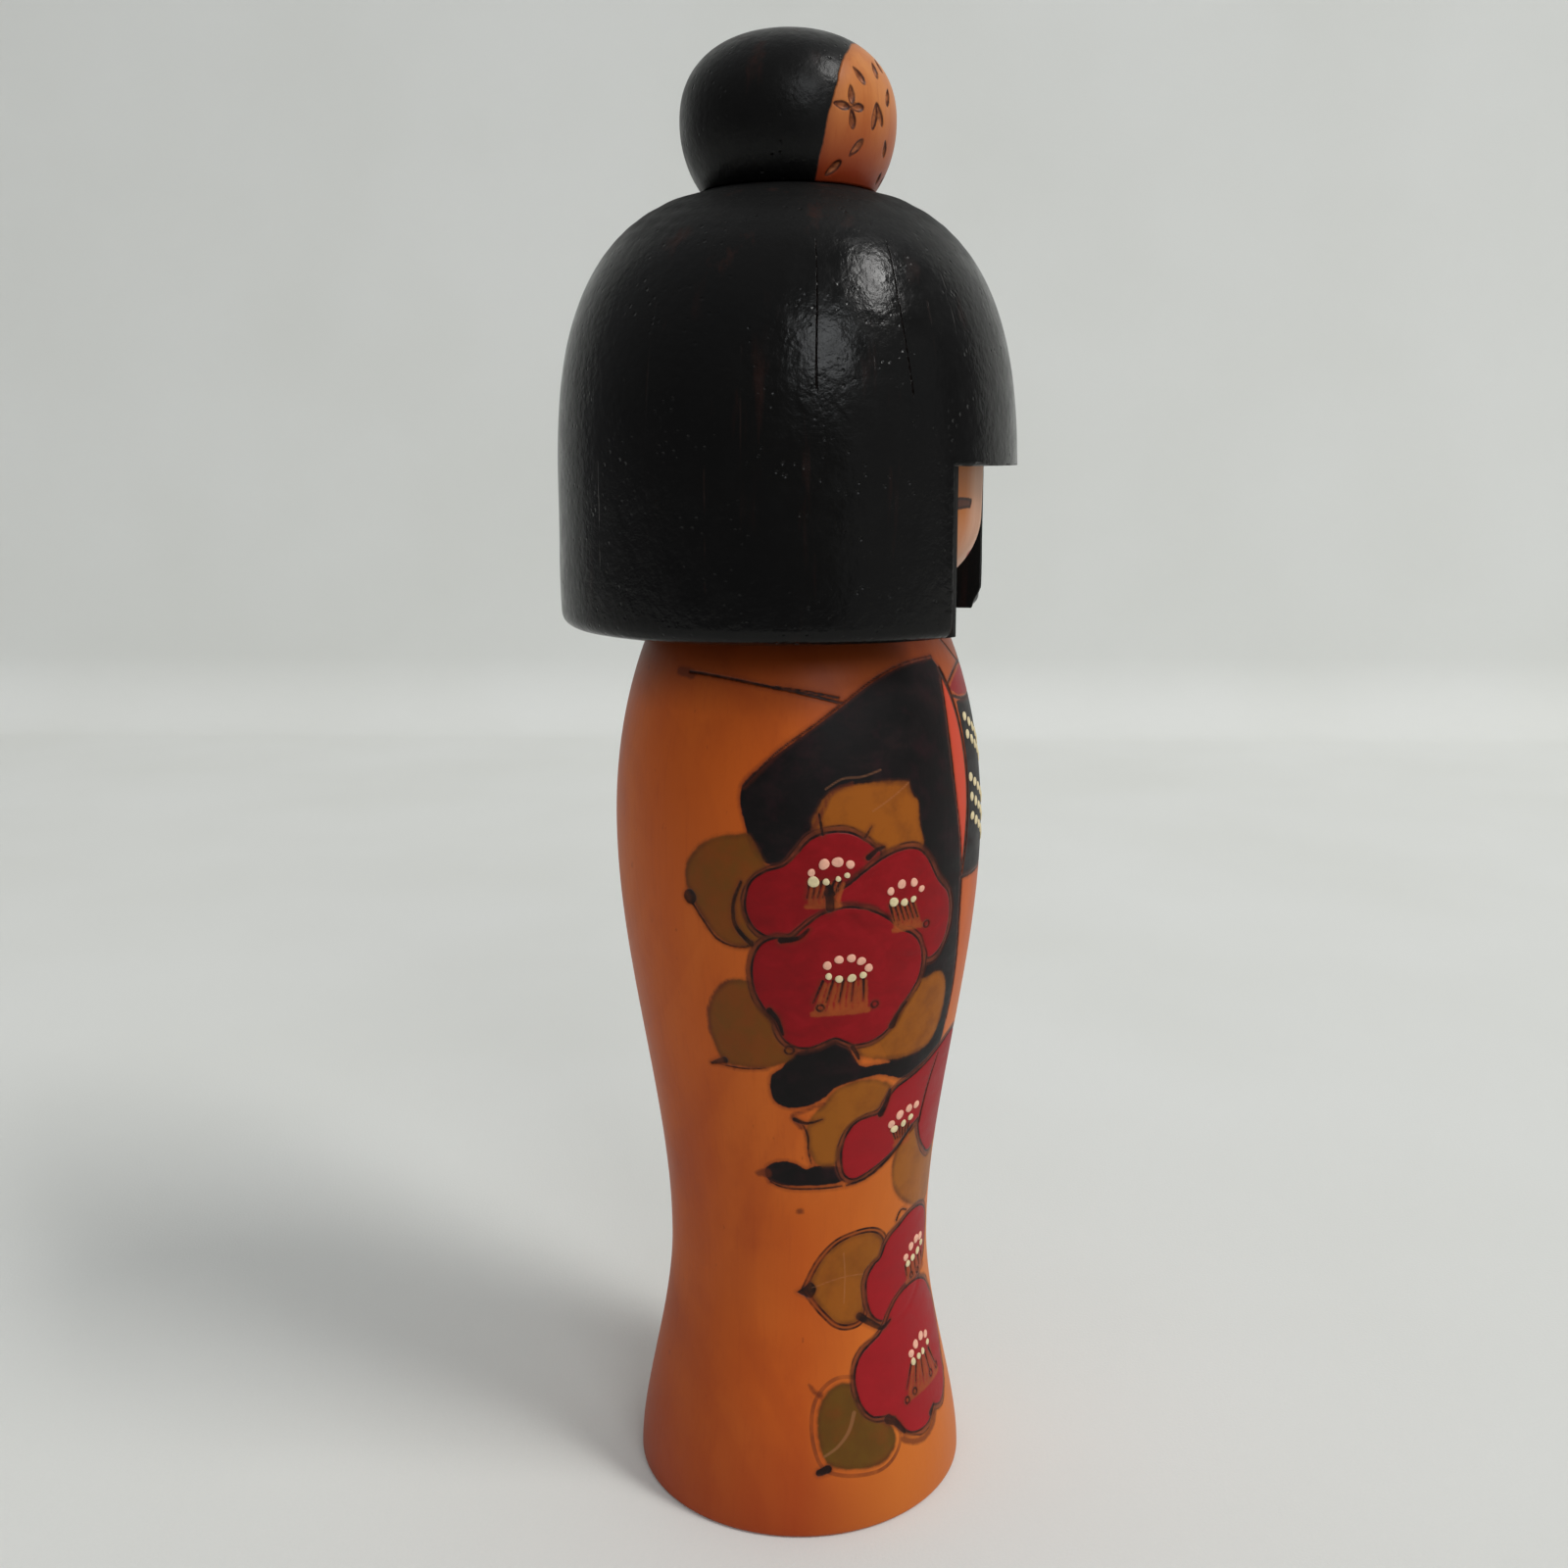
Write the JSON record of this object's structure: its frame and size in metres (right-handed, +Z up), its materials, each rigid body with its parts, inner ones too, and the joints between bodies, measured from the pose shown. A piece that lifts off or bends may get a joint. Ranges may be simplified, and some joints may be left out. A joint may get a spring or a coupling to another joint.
{
  "type": "kokeshi doll",
  "caption": "Turned wooden kokeshi doll with a flared painted body, a lacquered bob of hair with a carved topknot bun, and a head that swivels on a neck peg.",
  "frame": {"origin": "centre of the body's flat foot, on the body's turning axis and in the plane it stands on", "axes": "+Z up along the body's turning axis, -Y the way the face looks at rest, +X the doll's left hand"},
  "size_m": [0.0932, 0.0931, 0.303],
  "materials": {
    "stained_wood": "satin orange-brown stain with painted and burnt decoration",
    "bare_wood": "matt, unfinished",
    "face_wood": "satin",
    "black_lacquer": "semi-gloss black lacquer on wood"
  },
  "bodies": {
    "torso": {"body": "stained_wood"},
    "head": {"neck_peg": "bare_wood", "face_ball": "face_wood", "hair": "black_lacquer", "bun_peg": "bare_wood", "bun": "black_lacquer"}
  },
  "joints": [
    {"name": "head_swivel", "type": "hinge", "parent": "torso", "child": "head", "pos_m": [0, 0, 0.196], "axis": [0, 0, 1], "continuous": true}
  ]
}
